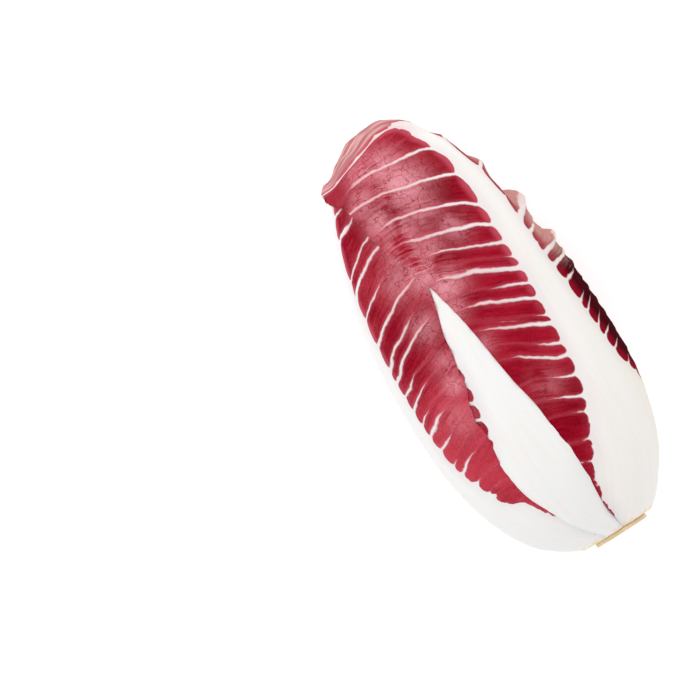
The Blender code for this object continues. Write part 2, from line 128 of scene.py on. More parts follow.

# %% [markdown]
# ## The two leaves that show most
# The right-hand leaf comes up over the top and folds across the tip, and the left-hand leaf tucks
# under it. Each row below is one side vein, from the base to the tip: where it leaves the midrib, its
# middle and its end on the upper margin, and then its end on the far margin. Some fifty rows, read from
# a photograph and guessed where it shows none, give these leaves veins that are long and short in turn,
# as no even grid would.

# %% Tables of the side veins
# A far vein that spans a wide angle goes over the tip: where that begins and is full, in degrees
CROSSES_TIP = (60.0, 115.0)
RIGHT_LEAF = [
    ((2, 36), (2, 58), (2, 84), (2, -8)),
    ((9, 37), (9, 60), (9.5, 84), (9, -9)),
    ((16, 38), (17, 61), (18, 84.5), (18, -10.5)),
    ((22.5, 39), (28, 63), (34, 85.5), (29, -13)),
    ((33, 41), (39, 64), (45.5, 86.5), (44, -16)),
    ((45, 42), (51.3, 65), (57, 88), (64, -19)),
    ((51, 43), (58.3, 65.5), (66, 89), (74, -22)),
    ((60.5, 44), (69, 67), (76, 91.5), (85, -25)),
    ((68.5, 45), (78, 68), (90, 94), (92, -27)),
    ((75.5, 45), (85.2, 68.5), (97, 95), (98, -29)),
    ((83, 45), (94.5, 69), (106, 96.5), (103, -30)),
    ((88, 44.5), (99.5, 70), (111, 97.5), (108, -31)),
    ((98, 44), (107.7, 70), (116.5, 99), (112, -31)),
    ((106.5, 43), (115, 70.5), (123, 101), (117, -31)),
    ((113.5, 42.5), (123.5, 72), (132.5, 104.5), (125, -31)),
    ((119.5, 41), (129, 73), (138, 107.5), (131, -31)),
    ((124.5, 39.5), (136.2, 73.5), (144, 111), (139, -31)),
    ((131, 38), (145.5, 74), (151, 116.5), (150, -32)),
    ((142, 34.5), (157, 75), (161.5, 123.5), (159, -36)),
    ((158, 30.5), (171.5, 83), (175.5, 136), (166, -46)),
    ((175, 22), (182.8, 83), (180, 148), (181, -66)),
    ((187, 18), (186.5, 88), (181, 153), (186.5, -95)),
    ((194.5, 42), (189, 100), (181.3, 158), (189, -122)),
    ((195.5, 76), (189.5, 116), (181.6, 163), (189.5, -145)),
    ((192, 108), (188, 136), (182.2, 168), (189, -163)),
    ((188, 140), (186, 154), (183.2, 173), (188, -174)),
    ((185.5, 168), (185, 172), (184.5, 176), (186.5, -181)),
]
LEFT_LEAF = [
    ((2, 175), (2, 145), (2, 112), (2, 216)),
    ((9, 176), (9, 147), (9.5, 115.5), (9, 217)),
    ((17, 176.5), (17.5, 150), (18, 119), (18, 218)),
    ((25, 177), (26, 152), (27, 123), (26, 220)),
    ((31.5, 177.5), (34, 152), (35, 127.8), (32, 222)),
    ((39, 178), (43, 151), (46, 125.5), (41, 226)),
    ((46, 178), (50, 151), (54, 124.3), (47, 228)),
    ((52, 178), (58, 150), (65, 121), (54, 231)),
    ((57.5, 178), (64, 149.5), (72, 122), (60, 233)),
    ((65.5, 178), (72.5, 149), (80, 119.6), (67, 235)),
    ((71.5, 178), (79.5, 148), (87.5, 115.3), (74, 236)),
    ((78, 178), (86, 146.5), (94, 114.5), (81, 237)),
    ((86, 178), (94, 145), (102.5, 111.8), (88, 238)),
    ((92, 177.5), (101, 144.5), (110, 111), (96, 239)),
    ((99, 177.5), (110.5, 142.5), (122, 106.5), (106, 239.5)),
    ((105.5, 177), (117.5, 141.5), (129, 104.6), (114, 240)),
    ((114, 177), (127.5, 140.5), (139, 101.5), (122, 240.5)),
    ((126.5, 176.5), (140, 139), (151, 97), (134, 241)),
    ((137, 176), (151.5, 138), (161, 92), (146, 241)),
    ((143, 176), (158.5, 138), (167.5, 90), (152, 240)),
    ((161.5, 176), (173, 138), (178, 86), (167, 238)),
    ((174, 175.5), (181.5, 136), (185, 84.5), (179, 232)),
    ((183.5, 172), (187, 132), (189, 84), (186.5, 214)),
    ((189, 152), (191, 122), (192, 93), (192, 172)),
    ((192, 122), (192.5, 112), (193, 102), (193, 138)),
]


def vein_net(table):
    """Turns a leaf's table into lines on the sphere: midrib, then middle and margin on each side."""
    places = np.array(table, float)
    rib, middle, margin, far = (on_sphere(*places[:, k].T) for k in range(4))
    # A far vein's middle is half way in distance and angle, and the shortest way where it crosses the tip
    half_way = on_sphere(*(places[:, 0] + places[:, 3]).T / 2)
    crosses_tip = smooth_step(places[:, 0, 1] - places[:, 3, 1], *CROSSES_TIP)[:, None]
    far_middle = unit(half_way + (unit(rib + far) - half_way) * crosses_tip)
    return rib, middle, margin, far_middle, far


print("side veins:", len(RIGHT_LEAF), "right,", len(LEFT_LEAF), "left")

# %% [markdown]
# ## Leaves that follow a rule
# The other leaves show only a strip each, or nothing, so one rule draws them all: a straight midrib,
# side veins that sweep towards the tip, and a blade that is widest past its middle. It has the same
# five lines as the tables give, so one way of making a leaf serves both.

# %% A net of veins by rule
MOST_TURN = 125.0


def ruled_net(base_angle, tip_angle, start, end, half_angle, base_share, veins):
    """The five lines of a leaf that follows the rule."""
    t = np.linspace(0.0, 1.0, veins + 1)
    along = start + (end - start) * (0.8 * t + 0.2 * t ** 2)
    angle = base_angle + (tip_angle - base_angle) * t
    bulge = base_share + (1 - base_share) * smooth_step(t, 0.0, 0.6)
    half_turn = half_angle * bulge * np.sqrt(np.clip(1.0 - t ** 5, 0.0, 1.0)) + 1.5
    sweep = 17.0 * smooth_step(t, 0.05, 0.5) * (1 - t ** 2)
    sides = []
    for side in (1, -1):
        for share, swept in ((0.5, 0.6), (1.0, 1.0)):
            place = np.minimum(along + swept * sweep, end)
            ring = np.linalg.norm(on_sphere(np.maximum(place, WIDEST), 0 * place)[:, 1:], axis=-1)
            turn = share * np.minimum(half_turn / np.maximum(ring, 0.3), MOST_TURN)
            sides.append(on_sphere(place, angle + side * turn))
    return on_sphere(along, angle), sides[0], sides[1], sides[2], sides[3]


print("lines of a ruled leaf:", len(ruled_net(274, 264, 2, 190, 64, 0.62, 14)))

# %% [markdown]
# ## From lines to a smooth sheet
# A spline runs through the veins' ends, and each vein is a parabola through its three places. The
# work is done on the unit sphere, where a weighted mean of places is still a place, so the sheet can't
# cut through the egg.

# %% Lay a leaf on the sphere
def spline(points, where):
    """Reads a smooth curve through the points at fractional positions."""
    points = np.asarray(points, float)
    last = len(points) - 1
    padded = np.concatenate([[2 * points[0] - points[1]], points, [2 * points[-1] - points[-2]]])
    start = np.clip(np.floor(where).astype(int), 0, last - 1)
    t = (where - start).reshape((-1,) + (1,) * (points.ndim - 1))
    p0, p1, p2, p3 = (padded[start + k] for k in range(4))
    return 0.5 * (2 * p1 + (p2 - p0) * t + (2 * p0 - 5 * p1 + 4 * p2 - p3) * t ** 2
                  + (3 * p1 - p0 - 3 * p2 + p3) * t ** 3)


def lay_leaf(net, rows, columns):
    """Reads the net at rows (side veins) and columns (-1 and 1 are the margins, 0 is the midrib)."""
    rib, left_middle, left, right_middle, right = (unit(spline(line, rows))[:, None] for line in net)
    b = np.abs(columns)[None, :, None]
    middle = np.where(columns[None, :, None] > 0, left_middle, right_middle)
    margin = np.where(columns[None, :, None] > 0, left, right)
    return unit(rib * (1 - b) * (1 - 2 * b) + middle * 4 * b * (1 - b) + margin * b * (2 * b - 1))


print("a leaf's grid:", lay_leaf(vein_net(RIGHT_LEAF), np.linspace(0, 19, 5), np.linspace(-1, 1, 5)).shape)

# %% [markdown]
# ## Marks on the leaf
# Paint and relief both follow the leaf's growth: how far it is to the nearest vein, to the white rib
# and to the margin, in millimetres. Those distances change slowly. So a mesh with cells of about a
# millimetre, as the leaves that show have, carries them well, and the shader turns them into crisp
# edges far finer than the mesh.

# %% Measure a leaf
RIB_WIDTH = [(0, 18), (20, 25), (35, 23), (48, 19.5), (67, 13), (90, 10.5), (140, 8.8), (166, 6), (190, 3)]
RIB_NARROWS = (0.79, 0.865)
RIB_LINE = 0.5


def by_distance(table, along):
    """Reads a table of (distance from the cut, value)."""
    return np.interp(along, *np.array(table, float).T)


def white_until(angle, along, across, edge, side):
    """How far from the midrib the white reaches on each vein, where angles give its edge."""
    past = np.maximum.accumulate(side * (angle - by_distance(edge, along)), axis=1)
    return np.array([np.interp(0.0, row, run) for row, run in zip(past, across)])


def measure(sphere, places, rows, columns, leaf):
    """The marks of a leaf, in millimetres, for each point of its grid."""
    steps = np.linalg.norm(np.diff(places, axis=1), axis=-1)
    run = np.concatenate([np.zeros((len(places), 1)), np.cumsum(steps, axis=1)], axis=1)
    middle = len(columns) // 2
    signed = run - run[:, middle:middle + 1]
    along = WIDEST - places[..., 0]
    rib_along = along[:, middle:middle + 1]
    per_row = np.gradient(places, rows, axis=0)
    per_column = np.gradient(places, columns, axis=1)
    area = np.linalg.norm(np.cross(per_row, per_column), axis=-1)
    half_white = np.repeat(by_distance(RIB_WIDTH, rib_along) * leaf["rib"], len(columns), axis=1)
    if leaf["white"]:
        angle = np.degrees(np.arctan2(sphere[..., 2], sphere[..., 1]))
        at_rib = angle[:, middle:middle + 1]
        angle = leaf["midrib_angle"] + (at_rib - leaf["midrib_angle"] + 180) % 360 - 180 \
            + (angle - at_rib + 180) % 360 - 180
        low, high = leaf["white"]
        inward = slice(middle, None, -1)
        below = white_until(angle[:, inward], along[:, inward], -signed[:, inward], low, -1)
        above = white_until(angle[:, middle:], along[:, middle:], signed[:, middle:], high, 1)
        half_white = np.where(columns > 0, above[:, None], below[:, None])
    crown = leaf["crown"] * smooth_step(rows / rows[-1], *RIB_NARROWS)[:, None]
    half_white = half_white * (1.0 - crown) + RIB_LINE * crown
    near, far = (np.array(line, float).T for line in leaf["veins"])
    nearest = np.rint(rows).astype(int)
    reach, width = (np.where(columns > 0, high[nearest, None], low[nearest, None])
                    for low, high in zip(far, near))
    return {
        "vein": np.broadcast_to(rows[:, None], along.shape),
        "vein_gap": area / np.maximum(np.linalg.norm(per_column, axis=-1), 1e-6),
        "vein_reach": reach,
        "vein_width": width,
        "crown": np.broadcast_to(crown, along.shape),
        "from_midrib": signed,
        "past_rib": np.abs(signed) - half_white,
        "from_margin": np.minimum(run, run[:, -1:] - run),
        "from_cut": along,
        "rib_from_cut": np.broadcast_to(rib_along, along.shape),
    }


print("white rib, mm from its middle at 90 mm:", by_distance(RIB_WIDTH, 90))

# %% [markdown]
# ## Thickness and relief
# The midrib of an outer leaf is a fleshy beam, 5 to 7 mm thick near the base, and the blade is under a
# millimetre. Between its side veins the blade hangs like cloth between tent poles, which gives the edge
# of the head its scallops, and a finer pucker runs all over it. Both are real geometry, so that they
# show in outline.

# %% Shape a leaf's section
BLADE = 0.8
MARGIN_BLADE = 0.15
RIB_THICKNESS = 4.8
RIB_STANDS_OUT = 0.28
PUCKER = 0.35


def pucker(places, size, seed):
    """Soft bumps about that many millimetres across."""
    flat = places.reshape(-1, 3) / size + seed
    return np.array([noise.noise(Vector(p)) for p in flat]).reshape(places.shape[:2])


def shape(places, marks, leaf):
    """Thickness of the leaf, how far its rib stands out, and the relief of its blade."""
    size, wave, signed, inward = leaf["rib"], leaf["wave"], marks["from_midrib"], marks["from_margin"]
    rib = size * by_distance(RIB_WIDTH, marks["rib_from_cut"])
    bulk = RIB_THICKNESS * size * (1.0 - 0.75 * smooth_step(marks["rib_from_cut"], 25.0, 185.0))
    across = np.abs(signed)
    section = np.clip(1.0 - (across / rib) ** 2, 0.0, 1.0) ** 1.5 * smooth_step(inward, 0.0, 7.0)
    blade = MARGIN_BLADE + (BLADE - MARGIN_BLADE) * smooth_step(inward, 0.0, 5.0)
    thickness = blade + bulk * section * (0.82 + 0.18 * smooth_step(marks["rib_from_cut"], 2.0, 14.0))
    free = smooth_step(across, rib, rib + 10.0) * smooth_step(marks["from_cut"], *leaf["wave_from"])
    amplitude = np.where(signed > 0, wave[1], wave[0]) * free
    amplitude = np.minimum(amplitude, leaf["most_wave"] * marks["vein_gap"])
    after = marks["vein"] % 1.0
    hang = (1.0 - np.exp(-3.2 * after)) * (1.0 - smooth_step(after, 0.8, 1.0))
    tent = 0.6 - 1.6 * hang
    ruffle = np.interp(marks["vein"], *np.array(leaf["ruffle"], float).T) * free * (signed < 0.0)
    fine = PUCKER * pucker(places, 7.0, leaf["seed"]) + 0.5 * PUCKER * pucker(places, 3.0, leaf["seed"] + 9)
    fine = fine * smooth_step(across, 0.6 * rib, rib + 6.0)
    return thickness, RIB_STANDS_OUT * bulk * section, amplitude * tent + ruffle + fine


print("thickest rib, mm:", RIB_THICKNESS, "blade, mm:", BLADE)

# %% [markdown]
# ## Let it down on the leaves beneath
# From each point of the new leaf a ray looks down to find what is already there. The leaf then lies as
# deep as its place in the bud asks, or as deep as what is beneath lets it, with its margins drawn down
# a little further, as they cling in a real head, and bedded by half a millimetre, so no dark crack
# shows. Cloth simulation could do this too, but rays are quick, and elsewhere keep the blades apart.

# %% Drape a leaf
CLEARANCE = 0.08
MARGIN_CLING = 4.0
MARGIN_BEDS = 0.5


def depth_beneath(places, ways_out, laid):
    """How far under the egg the leaves already laid begin, looking in from outside."""
    reach = 30.0
    depth = np.full(places.shape[:2], 60.0)
    for index in np.ndindex(depth.shape):
        out = Vector(ways_out[index])
        start = Vector(places[index]) + out * reach
        for tree in laid:
            hit = tree.ray_cast(start, -out, 80.0)
            if hit[0] is not None:
                depth[index] = min(depth[index], hit[3] - reach)
    return depth


def around(values, pick, spread):
    """Takes the least or the mean of the values round each point, first down and then across."""
    for axis in (0, 1):
        rows = np.moveaxis(np.pad(values, spread, mode="edge"), axis, 0)
        count = len(rows) - 2 * spread
        rows = pick([rows[k:k + count] for k in range(2 * spread + 1)])
        values = np.moveaxis(rows, 0, axis)
        values = values[:, spread:-spread] if axis == 0 else values[spread:-spread]
    return values


def least(stack):
    """The least value at each point."""
    return np.minimum.reduce(stack)


def mean(stack):
    """The mean value at each point."""
    return sum(stack) / len(stack)


def drape(places, ways_out, marks, leaf, laid):
    """The outer and inner skins of a leaf that rests on what is laid."""
    thickness, stands_out, relief = shape(places, marks, leaf)
    rise = stands_out + relief
    for along, angle, radius, height, fades in leaf["corner"]:
        apart = np.linalg.norm(places - on_head(on_sphere(along, angle))[0], axis=-1)
        rise = rise + height * np.exp(-(apart / radius) ** 2) * smooth_step(marks["from_margin"], 0.0, fades)
    gap = -MARGIN_BEDS + (CLEARANCE + MARGIN_BEDS) * smooth_step(marks["from_margin"], 0.2, 3.0)
    limit = depth_beneath(places, ways_out, laid) - gap - thickness + rise
    limit = around(around(limit, least, 1), mean, 1)
    low, high = leaf["depth"]
    wanted = low + (high - low) * smooth_step(marks["from_cut"], 100.0, 180.0)
    cling = np.clip(limit - wanted, 0.0, MARGIN_CLING) * (1.0 - smooth_step(marks["from_margin"], 0.0, 14.0))
    depth = np.minimum(around(around(np.minimum(wanted + cling, limit), mean, 3), mean, 3), limit)
    outer = places + ways_out * (rise - depth)[..., None]
    inner = outer - ways_out * thickness[..., None]
    return outer, inner


print("gap between leaves, mm:", CLEARANCE)

# %% [markdown]
# ## A closed mesh with its marks
# Both skins share one grid and a strip joins them round the edge, so a leaf is a closed thin body that
# looks right from any side. The marks are stored as attributes on its points for the shader to read.

# %% Make the mesh
def to_frame(points):
    """Puts points of the egg, in millimetres, into the frame, in metres, and never under the floor."""
    placed = np.array(points, float)
    placed[:, 2] = np.maximum(placed[:, 2], FLOOR)
    return placed * MM + AXIS


def add_mesh(name, points, faces, marks=None):
    """Makes an object of points and faces, with its marks as attributes."""
    mesh = bpy.data.meshes.new(name)
    mesh.from_pydata(to_frame(points).tolist(), [], faces)
    for key, values in (marks or {}).items():
        mark = mesh.attributes.new(key, "FLOAT", "POINT")
        mark.data.foreach_set("value", np.asarray(values, np.float32).ravel())
    mesh.shade_smooth()
    mesh.set_sharp_from_angle(angle=math.radians(60))
    piece = bpy.data.objects.new(name, mesh)
    bpy.context.scene.collection.objects.link(piece)
    return piece


def grid_faces(rows, columns):
    """The four-sided faces of a grid of points, as whole rows of numbers."""
    grid = np.arange(rows * columns).reshape(rows, columns)
    return np.stack([grid[:-1, :-1], grid[1:, :-1], grid[1:, 1:], grid[:-1, 1:]], axis=-1).reshape(-1, 4)


def closed_leaf(name, outer, inner, marks):
    """Joins two skins into one closed leaf."""
    rows, columns = outer.shape[:2]
    grid = np.arange(rows * columns).reshape(rows, columns)
    front = grid_faces(rows, columns)
    ring = np.concatenate([grid[0, :-1], grid[:-1, -1], grid[-1, :0:-1], grid[:0:-1, 0]])
    after = np.roll(ring, -1)
    rim = np.stack([ring, after, after + rows * columns, ring + rows * columns], axis=-1)
    faces = np.concatenate([front, front[:, ::-1] + rows * columns, rim]).tolist()
    points = np.concatenate([outer.reshape(-1, 3), inner.reshape(-1, 3)])
    return add_mesh(name, points, faces, {key: np.tile(mark.ravel(), 2) for key, mark in marks.items()})


print("faces of a 3 by 3 grid:", len(grid_faces(3, 3)))

# %% [markdown]
# ## Stem and heart
# The stem is a cut plug: flat across the knife's face, with a waist above it and a cone inside that
# the leaves stand on. The heart is a tight bud with the edges of its rolled leaves standing out. Both
# are turned bodies, so one profile swept round the axis makes each. A step in its radius winds leaf
# edges round the heart, and a little noise roughens the stem.

# %% Turn the stem and the heart
STEM_PROFILE = [(0, 12.4), (1.5, 12.4), (2.6, 11.3), (6, 13.6), (10, 15.6), (15, 16.2), (22, 14.5),
                (31, 10.0), (40, 5.0)]
STEM_SIDES = 96
CUT_RINGS = 9
HEART_MIDDLE = 104.0
HEART_REACH = 60.0
HEART_RADIUS = 26.0
HEART_RINGS = 60
HEART_SIDES = 96
HEART_FOLDS = 3
HEART_FOLD_HEIGHT = 1.6


def turned(name, stations, radii, sides, fold=(1, 0.0), rough=0.0):
    """A closed body turned about the axis, with wound leaf edges and a little roughness."""
    turn = 2 * math.pi * np.arange(sides) / sides
    points = []
    for place, radius in zip(stations, radii):
        phase = (fold[0] * turn / (2 * math.pi) + place / 90.0) % 1.0
        size = radius + fold[1] * (phase - 0.5) * min(1.0, radius / 10.0)
        ring = np.stack([np.full(sides, WIDEST - place), size * np.cos(turn),
                         size * np.sin(turn) * HALF_DEPTH / HALF_WIDTH], axis=-1)
        lift = rough * np.array([noise.noise(Vector(p) * 0.45) for p in ring])
        ring[:, 0] -= np.abs(lift) * (radius < radii[1])
        ring[:, 1:] *= 1.0 - 0.04 * np.abs(lift)[:, None]
        ring[:, 1] += LEAN * (1.0 - smooth_step(place, *BASE_LEANS))
        points.append(ring)
    grid = np.arange(len(points) * sides).reshape(-1, sides)
    after = np.roll(grid, -1, axis=1)
    faces = np.stack([grid[:-1], grid[1:], after[1:], after[:-1]], axis=-1).reshape(-1, 4).tolist()
    faces += [after[0].tolist()[::-1], grid[-1].tolist()]
    return add_mesh(name, np.concatenate(points), faces)


places, widths = np.array(STEM_PROFILE, float).T
smooth = np.linspace(0.0, len(places) - 1, 60)
cut = np.linspace(0.06, 0.97, CUT_RINGS)
stem = turned("stem_cut", np.concatenate([0.02 * (1 - cut), spline(places, smooth)]),
              np.concatenate([widths[0] * cut, spline(widths, smooth)]), STEM_SIDES, rough=0.9)
sweep = np.linspace(0.12, math.pi - 0.16, HEART_RINGS)
heart = turned("heart_bud", HEART_MIDDLE - HEART_REACH * np.cos(sweep), HEART_RADIUS * np.sin(sweep),
               HEART_SIDES, fold=(HEART_FOLDS, HEART_FOLD_HEIGHT))
print("stem points:", len(stem.data.vertices), "heart points:", len(heart.data.vertices))

# %% [markdown]
# ## All eleven leaves
# Leaves are laid from the inside outwards, from the five rolled inner ones to the right-hand leaf that
# closes the head. Each has its net of veins, its depth under the egg at base and tip, the size of its
# rib against the table of widths, and how far its blade waves on each side. Three leaves have edges of
# white, as angles at distances from the cut. The two big ones also have veins of their own, each with
# the reach and the width of its white. The right-hand leaf's far side is ruffled, with a height at each
# ridge, and its tip stands out in a corner. What the photograph hides is guessed.

# %% Lay the leaves in order
COMMON = {"most_wave": 0.08, "wave_from": (20.0, 120.0), "crown": 0.0, "ruffle": [(0, 0)], "corner": []}
INNER = {**COMMON, "cells": (64, 36), "wave": (0.5, 0.5), "slot": "inner_leaf"}
SIDE = {**COMMON, "cells": (130, 60), "wave": (1.0, 1.0), "slot": "side_leaf"}
OUTER = {**COMMON, "cells": (180, 92), "wave": (1.0, 0.8), "slot": "outer_leaf"}
FRONT_LOW_EDGE = [(0, 60), (200, 60)]
FRONT_HIGH_EDGE = [(0, 150), (50, 132), (59, 123), (62, 119), (66, 118.5), (75, 117), (83, 114.5),
                   (91, 113), (110, 113.5), (130, 111), (187, 108)]
LEFT_LOW_EDGE = [(0, 100), (13, 112), (16, 117.5), (20, 121.5), (25, 126.5), (30, 130), (33, 133),
                 (34.5, 139), (38, 143.5), (41, 143.5), (42.5, 142), (44, 146), (48, 148), (50.5, 147),
                 (52, 150.5), (55, 152), (61, 155), (66, 157), (74, 158.5), (84, 160), (98, 160.3),
                 (112, 161), (133, 162), (149, 163.3), (159, 164), (180, 165)]
LEFT_HIGH_EDGE = [(0, 225), (30, 222), (50, 204), (70, 198), (100, 195), (140, 191), (170, 187), (185, 180)]
RIGHT_LOW_EDGE = [(0, -40), (44, -30), (50, 8), (55, 15), (60, 24), (64, 27), (70, 29), (85, 31),
                  (119, 32.5), (128, 31), (138, 28), (148, 24), (159, 20), (169, 18), (176, 14),
                  (183, 8), (190, 5)]
RIGHT_HIGH_EDGE = [(0, 95), (6, 84.5), (9, 81.5), (12, 81), (14, 82.5), (17, 82.5), (18, 81), (22, 80.5),
                   (25.5, 82), (26.5, 80), (30, 78), (33, 75.5), (38, 73), (43, 71), (47.5, 68.5),
                   (55, 65), (60, 62.5), (70, 60), (77, 59), (92, 57), (97, 56.3), (110, 54), (121, 53),
                   (135, 51), (142, 49), (151, 46), (157, 44.5), (166, 41), (172, 38), (180, 37),
                   (185, 37.5), (190, 43), (193, 53), (196, 66)]
RIGHT_VEINS = [(0, 0)] * 3 + [(4, 0.7), (6, 0.7), (8, 0.7), (17, 0.8), (15, 0.7), (27, 1.1), (15, 0.7),
               (33, 1.5), (8, 0.7), (34, 1.3), (21, 0.7), (39, 1.6), (6, 0.7), (38, 0.8), (45, 1.4),
               (50, 1.4), (70, 1.3), (47, 0.9)] + [(0, 0)] * 6
RIGHT_FAR_VEINS = [(0, 0)] * 5 + [(4, 0.5), (10, 0.6), (13, 0.6), (14, 0.6), (13, 0.6), (14, 0.7),
                   (12, 0.6), (14, 0.8), (30, 1.8), (30, 2.6), (3, 0.5), (24, 1.2), (40, 2.4), (6, 0.8),
                   (30, 1.6), (30, 1.2)] + [(0, 0)] * 6
LEFT_VEINS = [(0, 0)] * 5 + [(4, 0.7), (5, 0.8), (17, 1.0), (7, 0.7), (17, 0.8), (22, 1.0), (15, 0.7),
              (22, 1.1), (20, 0.9), (42, 1.2), (36, 0.9), (46, 1.3), (28, 0.7), (42, 1.6), (36, 0.8),
              (20, 1.7), (14, 0.8), (8, 0.7)] + [(0, 0)] * 2
LEFT_FAR_VEINS = [(12, 1.1)] * len(LEFT_LEAF)
RUFFLE = [(0, 0), (11, 0), (12, 0.8), (12.5, 0.5), (13, 0.8), (13.6, 0.6), (14.1, 2.6), (14.4, 0.8),
          (14.7, -0.8), (15.6, -1.2), (16, -0.8), (16.5, 0.4), (17, 2.7), (17.2, 0.4), (17.45, -1.8),
          (18, -2.2), (18.5, -1.2), (19, 1.4), (19.3, -0.2), (20, 0.9), (20.4, 0.0), (21, 0), (25, 0)]


def ruled_veins(count, seed):
    """A reach and a width for each side vein of a leaf that follows the rule."""
    rng = np.random.default_rng(seed)
    share = np.linspace(0.0, 1.0, count + 1)
    reach = (5.0 + 30.0 * share) * rng.uniform(0.5, 1.2, count + 1)
    return np.stack([reach, rng.uniform(0.8, 1.6, count + 1)], axis=-1)


def ruled_leaf(kind, net, depth, rib, seed, white=None):
    """Everything that a ruled leaf needs."""
    veins = ruled_veins(net[-1], seed)
    return {**kind, "net": ruled_net(*net), "depth": depth, "rib": rib, "seed": seed, "white": white,
            "midrib_angle": net[0], "veins": (veins, veins)}


left_net = vein_net(LEFT_LEAF)
LEAVES = {
    "inner_leaf_1": ruled_leaf(INNER, (20, 35, 26, 176, 93, 0.60, 8), (17.0, 9.0), 0.45, 11),
    "inner_leaf_2": ruled_leaf(INNER, (200, 215, 24, 178, 93, 0.60, 8), (15.5, 8.5), 0.45, 23),
    "inner_leaf_3": ruled_leaf(INNER, (310, 325, 18, 181, 74, 0.60, 8), (12.0, 7.5), 0.55, 37),
    "inner_leaf_4": ruled_leaf(INNER, (70, 80, 17, 182, 74, 0.60, 8), (11.0, 7.0), 0.55, 41),
    "inner_leaf_5": ruled_leaf(INNER, (190, 200, 16, 184, 74, 0.60, 8), (9.5, 6.5), 0.60, 53),
    "side_leaf_right": ruled_leaf(SIDE, (334, 345, 2, 186, 44, 0.40, 13), (3.2, 5.6), 0.80, 61),
    "side_leaf_left": ruled_leaf(SIDE, (226, 222, 2, 187, 33, 0.36, 13), (3.0, 5.2), 0.80, 73),
    "side_leaf_front": ruled_leaf(SIDE, (106, 104, 2, 187, 47, 0.57, 20), (2.0, 4.8), 1.00, 83,
                                  (FRONT_LOW_EDGE, FRONT_HIGH_EDGE)),
    "outer_leaf_under": ruled_leaf(OUTER, (274, 264, 2, 190, 64, 0.62, 14), (1.2, 3.2), 1.00, 97),
    "outer_leaf_left": {**OUTER, "net": (left_net[0], left_net[3], left_net[4], left_net[1], left_net[2]),
                        "depth": (0.3, 1.9), "rib": 1.25, "seed": 107, "midrib_angle": 178.0,
                        "veins": (LEFT_FAR_VEINS, LEFT_VEINS), "white": (LEFT_LOW_EDGE, LEFT_HIGH_EDGE)},
    "outer_leaf_right": {**OUTER, "net": vein_net(RIGHT_LEAF), "cells": (260, 92), "depth": (0.0, 0.0),
                         "rib": 1.0, "seed": 131, "wave": (0.4, 0.5), "midrib_angle": 40.0, "crown": 1.0,
                         "veins": (RIGHT_VEINS, RIGHT_FAR_VEINS), "white": (RIGHT_LOW_EDGE, RIGHT_HIGH_EDGE),
                         "ruffle": RUFFLE, "corner": [(187, 177, 6.3, 6.3, 1.0)]},
}
# Where the pale pink patches lie, with their size and strength: partly wax, partly painted sheen highlight
WAXY_SHEEN_PATCHES = [
    (173, 84, 11, 0.95), (184, 88, 9, 0.85), (160, 84, 8, 0.7), (147, 72, 7, 0.6), (158, 101, 8, 0.8),
    (128, 95, 8, 0.9), (138, 103, 9, 0.9), (150, 106, 9, 0.9), (165, 112, 8, 0.7), (118, 98, 6, 0.6),
    (144, 92, 7, 0.6), (188, 108, 8, 0.8), (176, 118, 8, 0.6), (98, 94, 5, 0.4), (70, 78, 7, 0.3),
    (140, 119, 9, 0.5), (118, 118, 7, 0.6), (100, 118, 6, 0.5), (91, 121, 5, 0.7), (77, 129, 8, 0.35),
]


def waxy_sheen_patches(places):
    """How strong the pale pink patches of wax and painted sheen highlight are at each place: 0 is none."""
    strength = np.zeros(places.shape[:2])
    for along, angle, radius, share in WAXY_SHEEN_PATCHES:
        middle = on_head(on_sphere(along, angle))[0]
        apart = np.linalg.norm(places - middle, axis=-1)
        strength = np.maximum(strength, share * np.exp(-(apart / radius) ** 2))
    return strength


laid = []
for body in (stem, heart):
    inside = [tuple((np.array(v.co) - AXIS) / MM) for v in body.data.vertices]
    laid.append(BVHTree.FromPolygons(inside, [tuple(p.vertices) for p in body.data.polygons]))
leaves = {}
for name, leaf in LEAVES.items():
    rows = np.linspace(0.0, len(leaf["net"][0]) - 1, leaf["cells"][0] + 1)
    columns = np.linspace(-1.0, 1.0, leaf["cells"][1] + 1)
    sphere = lay_leaf(leaf["net"], rows, columns)
    places, ways_out = on_head(sphere)
    marks = measure(sphere, places, rows, columns, leaf)
    marks["sheen_and_wax"] = waxy_sheen_patches(places)
    outer, inner = drape(places, ways_out, marks, leaf, laid)
    laid.append(BVHTree.FromPolygons(outer.reshape(-1, 3).tolist(), grid_faces(*outer.shape[:2]).tolist()))
    leaves[name] = closed_leaf(name + "_finished", outer, inner, marks)
    print(name, "faces:", len(leaves[name].data.polygons))

# %% [markdown]
# ## Helpers for the finishes
# Colours are written as sRGB hex values, as a paint chart gives them, and a shader wants linear light,
# so one function turns them. Another adds a node, sets it up and links it, and hands back its output,
# which lets a finish be written from top to bottom like a recipe. The rest are short names for the nodes
# that a finish uses most: a sum, a ramp, a blend of two colours and a grain of noise.

# %% Colour and node helpers
def linear(colour):
    """Turns an sRGB hex value into the linear colour that a shader takes."""
    parts = [int(colour[k:k + 2], 16) / 255 for k in (1, 3, 5)]
    return [*(p / 12.92 if p <= 0.04045 else ((p + 0.055) / 1.055) ** 2.4 for p in parts), 1.0]


def fill(tree, node, inputs):
    """Links a node's inputs to outputs, or fills them with values."""
    for socket, value in inputs.items():
        if isinstance(value, bpy.types.NodeSocket):
            tree.links.new(value, node.inputs[socket])
        else:
            node.inputs[socket].default_value = value


def add(tree, kind, inputs=None, out=0, **settings):
    """Adds a node with its settings and inputs, and gives back one output."""
    made = tree.nodes.new(kind)
    for setting, value in settings.items():
        setattr(made, setting, value)
    fill(tree, made, inputs or {})
    return made.outputs[out]


